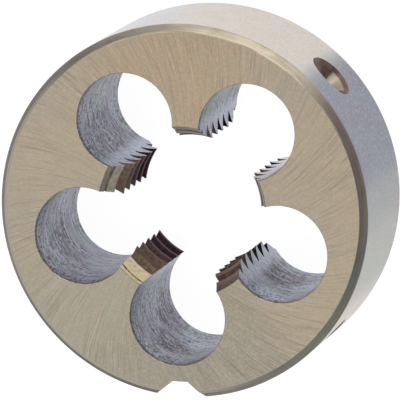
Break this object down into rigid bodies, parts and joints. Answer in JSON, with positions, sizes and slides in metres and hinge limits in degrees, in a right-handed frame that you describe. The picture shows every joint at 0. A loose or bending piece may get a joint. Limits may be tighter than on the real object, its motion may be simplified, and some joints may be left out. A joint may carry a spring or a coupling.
{
  "type": "round threading die",
  "caption": "Solid round threading die with a threaded bore between chip clearance holes, a notch in the rim and cone dimples for set screws.",
  "frame": {"origin": "on the bore axis, in the plane of the back face", "axes": "+Z along the bore axis, out of the front face; the adjusting notch opens towards -Y"},
  "size_m": [0.045, 0.0448, 0.018],
  "materials": {
    "tool_steel": "ground tool steel, straw coloured on the faces, grey on the rim, dark in the teeth"
  },
  "bodies": {
    "root": {"round_die": "tool_steel"}
  },
  "joints": []
}
